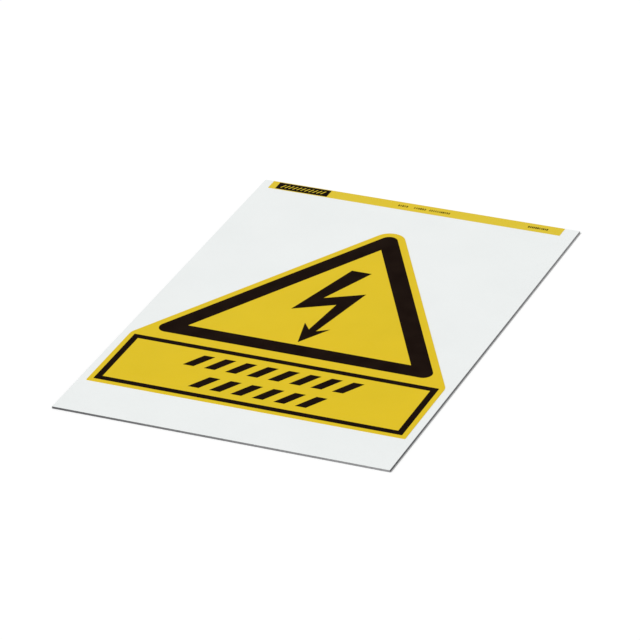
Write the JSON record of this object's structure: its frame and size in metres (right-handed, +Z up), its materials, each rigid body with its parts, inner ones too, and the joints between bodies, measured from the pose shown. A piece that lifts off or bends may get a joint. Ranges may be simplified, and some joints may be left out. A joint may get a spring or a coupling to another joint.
{
  "type": "high voltage warning sign",
  "caption": "Flat white rectangular sheet with a die-cut yellow film: a black-edged triangle with a lightning bolt arrow over a framed panel, and a yellow header strip.",
  "frame": {"origin": "middle of the sheet's underside", "axes": "+X to the right across the sheet, +Y along its length towards the header strip, +Z up out of the printed face"},
  "size_m": [0.21, 0.297, 0.0017],
  "materials": {
    "white_sheet": "matte",
    "yellow_film": "satin",
    "yellow_print": "satin",
    "black_print": "satin"
  },
  "bodies": {
    "root": {"backing_sheet": "white_sheet", "label_film": "yellow_film", "triangle_band_print": "black_print", "lightning_bolt": "black_print", "panel_frame": "black_print", "panel_marks": "black_print", "header_strip": "yellow_print", "header_block": "black_print"}
  },
  "joints": []
}
